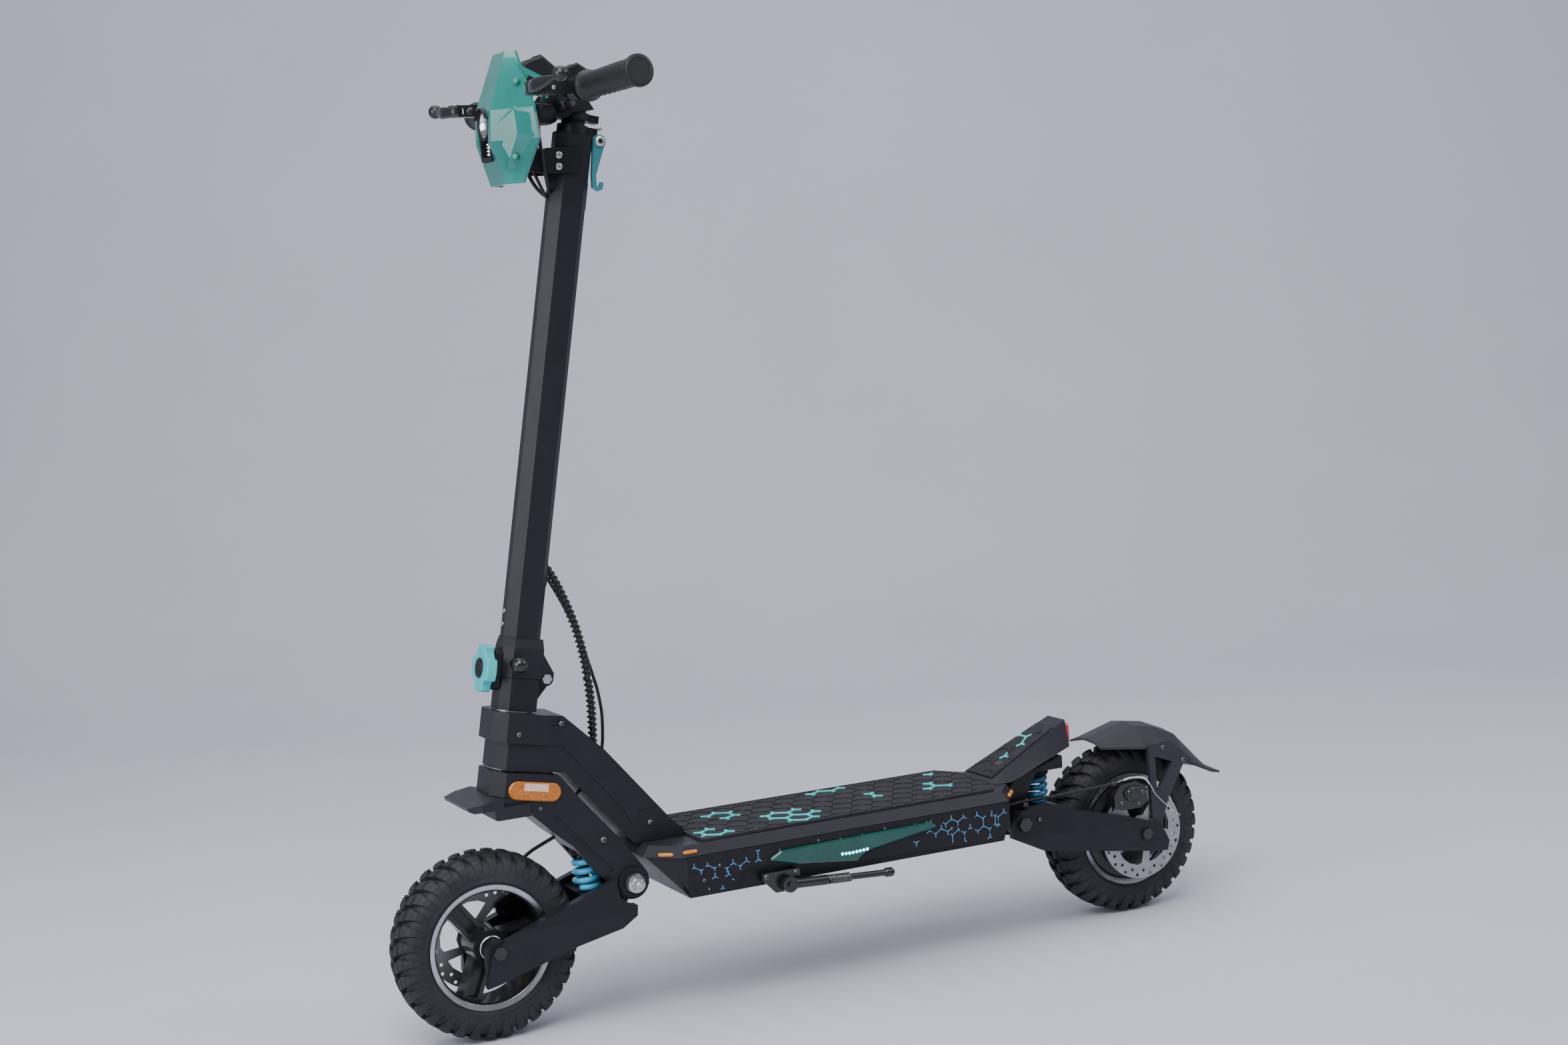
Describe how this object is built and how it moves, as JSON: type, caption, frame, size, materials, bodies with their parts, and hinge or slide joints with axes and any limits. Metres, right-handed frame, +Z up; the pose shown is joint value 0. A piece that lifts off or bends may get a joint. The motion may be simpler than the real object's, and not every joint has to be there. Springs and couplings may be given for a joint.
{
  "type": "electric kick scooter",
  "caption": "Folding electric kick scooter with sprung swingarms, disc brakes, a ribbed deck with a raised tail, and a folding steering column with a lamp fairing.",
  "frame": {"origin": "middle of the whole scooter's footprint, on the ground", "axes": "+X forwards, +Y to the rider's left, +Z up"},
  "size_m": [1.3151, 0.6104, 1.309],
  "materials": {
    "charcoal_paint": "satin powder coat",
    "deck_alloy": "satin black",
    "black_plastic": "fine moulded grain",
    "battery_wrap": "shrink wrap",
    "mat_rubber": "ribbed rubber",
    "grip_rubber": "ribbed rubber",
    "tyre_rubber": "moulded blocks",
    "rim_black": "gloss black with a machined lip",
    "rotor_steel": "brushed",
    "bolt_steel": "plated",
    "caliper_black": "gloss black",
    "lever_alloy": "black anodised",
    "spring_blue": "gloss powder coat",
    "teal_clear": "tinted translucent plastic",
    "turquoise_plastic": "satin",
    "amber_reflector": "prismatic",
    "red_lens": "clear red"
  },
  "bodies": {
    "frame": {"deck_shell": "deck_alloy", "deck_cover": "charcoal_paint", "deck_mat": "mat_rubber", "neck": "charcoal_paint", "skirts": "black_plastic", "side_lenses": "teal_clear", "tail_plate": "charcoal_paint", "tail_lamp": "red_lens", "battery": "battery_wrap", "headset_bearings": "bolt_steel", "stand_bracket": "deck_alloy", "rear_pivot_bolt": "bolt_steel", "rear_spring_cap": "black_plastic"},
    "steerer": {"fork_crown": "charcoal_paint", "steerer_tube": "bolt_steel", "front_mudguard": "charcoal_paint", "reflectors": "amber_reflector", "fold_base": "charcoal_paint", "steerer_pins": "bolt_steel", "front_spring_cap": "black_plastic", "wire_loom": "black_plastic", "front_brake_cable": "black_plastic"},
    "clamp_plate": {"clamp_plate": "black_plastic"},
    "clamp_knob": {"clamp_knob": "turquoise_plastic"},
    "lock_pin": {"lock_pin": "bolt_steel"},
    "stem": {"fold_head": "charcoal_paint", "stem_column": "charcoal_paint", "post_collar": "deck_alloy", "handlebar_post": "deck_alloy", "handlebar": "deck_alloy", "grips": "grip_rubber", "display_unit": "black_plastic", "switch_pod": "black_plastic", "lever_mounts": "lever_alloy", "lamp_bracket": "black_plastic", "lamp_fairing": "teal_clear", "headlamp": "black_plastic", "clamp_stud": "bolt_steel", "head_cables": "black_plastic"},
    "brake_lever_left": {"brake_lever_left": "lever_alloy"},
    "brake_lever_right": {"brake_lever_right": "lever_alloy"},
    "throttle_lever": {"throttle_lever": "black_plastic"},
    "hook": {"hook": "turquoise_plastic"},
    "front_arm": {"front_swingarm": "charcoal_paint", "front_axle": "bolt_steel", "front_caliper": "caliper_black", "front_spring": "spring_blue"},
    "front_wheel": {"front_tyre": "tyre_rubber", "front_rim": "rim_black", "front_rotor": "rotor_steel"},
    "rear_arm": {"rear_swingarm": "charcoal_paint", "rear_axle": "bolt_steel", "rear_fender": "black_plastic", "rear_caliper": "caliper_black", "rear_spring": "spring_blue", "rear_brake_cable": "black_plastic"},
    "rear_wheel": {"rear_tyre": "tyre_rubber", "hub_motor": "rim_black", "rear_rotor": "rotor_steel"},
    "kickstand": {"kickstand": "deck_alloy"}
  },
  "joints": [
    {"name": "steer", "type": "hinge", "parent": "frame", "child": "steerer", "pos_m": [0.47402, 0, 0.4], "axis": [-0.1857, 0, 0.9826], "range_deg": [-40, 40]},
    {"name": "fold", "type": "hinge", "parent": "steerer", "child": "stem", "pos_m": [0.4245, 0, 0.476], "axis": [0, -1, 0], "range_deg": [0, 90], "deforming": ["wire_loom"]},
    {"name": "clamp_release", "type": "slide", "parent": "stem", "child": "clamp_plate", "axis": [0.9826, 0, 0.1857], "range_m": [0, 0.0045]},
    {"name": "knob_turn", "type": "hinge", "parent": "clamp_plate", "child": "clamp_knob", "pos_m": [0.4572, 0, 0.489], "axis": [0.9826, 0, 0.1857], "range_deg": [0, 1080]},
    {"name": "lock_pull", "type": "slide", "parent": "stem", "child": "lock_pin", "axis": [0, 1, 0], "range_m": [0, 0.008], "stiffness_N_per_m": 600, "springref_m": -0.003},
    {"name": "brake_left", "type": "hinge", "parent": "stem", "child": "brake_lever_left", "pos_m": [0.4315, 0.152, 1.243], "axis": [0, 0, 1], "range_deg": [0, 18], "stiffness_Nm_per_rad": 2, "springref_deg": -11.46},
    {"name": "brake_right", "type": "hinge", "parent": "stem", "child": "brake_lever_right", "pos_m": [0.4315, -0.152, 1.243], "axis": [0, 0, -1], "range_deg": [0, 18], "stiffness_Nm_per_rad": 2, "springref_deg": -11.46},
    {"name": "throttle", "type": "hinge", "parent": "stem", "child": "throttle_lever", "pos_m": [0.3719, -0.119, 1.2403], "axis": [0, -1, 0], "range_deg": [0, 30], "stiffness_Nm_per_rad": 0.3, "springref_deg": -14.32},
    {"name": "hook_swing", "type": "hinge", "parent": "stem", "child": "hook", "pos_m": [0.2905, 0.011, 1.185], "axis": [0, 1, 0], "range_deg": [0, 60]},
    {"name": "front_travel", "type": "hinge", "parent": "steerer", "child": "front_arm", "pos_m": [0.3275, 0, 0.186], "axis": [0, -1, 0], "range_deg": [0, 8], "stiffness_Nm_per_rad": 300, "springref_deg": -8.59, "deforming": ["front_spring", "front_brake_cable"]},
    {"name": "front_spin", "type": "hinge", "parent": "front_arm", "child": "front_wheel", "pos_m": [0.5301, 0, 0.1275], "axis": [0, 1, 0], "continuous": true},
    {"name": "rear_travel", "type": "hinge", "parent": "frame", "child": "rear_arm", "pos_m": [-0.2795, 0, 0.175], "axis": [0, 1, 0], "range_deg": [0, 8], "stiffness_Nm_per_rad": 300, "springref_deg": -8.59, "deforming": ["rear_spring", "rear_brake_cable"]},
    {"name": "rear_spin", "type": "hinge", "parent": "rear_arm", "child": "rear_wheel", "pos_m": [-0.4925, 0, 0.1275], "axis": [0, 1, 0], "continuous": true},
    {"name": "stand_swing", "type": "hinge", "parent": "frame", "child": "kickstand", "pos_m": [0.1265, 0.1132, 0.163], "axis": [0, -1, 0], "range_deg": [0, 75]}
  ],
  "couplings": [
    {"joint": "clamp_release", "follows": "knob_turn", "m_per_rad": 0.00023873}
  ]
}
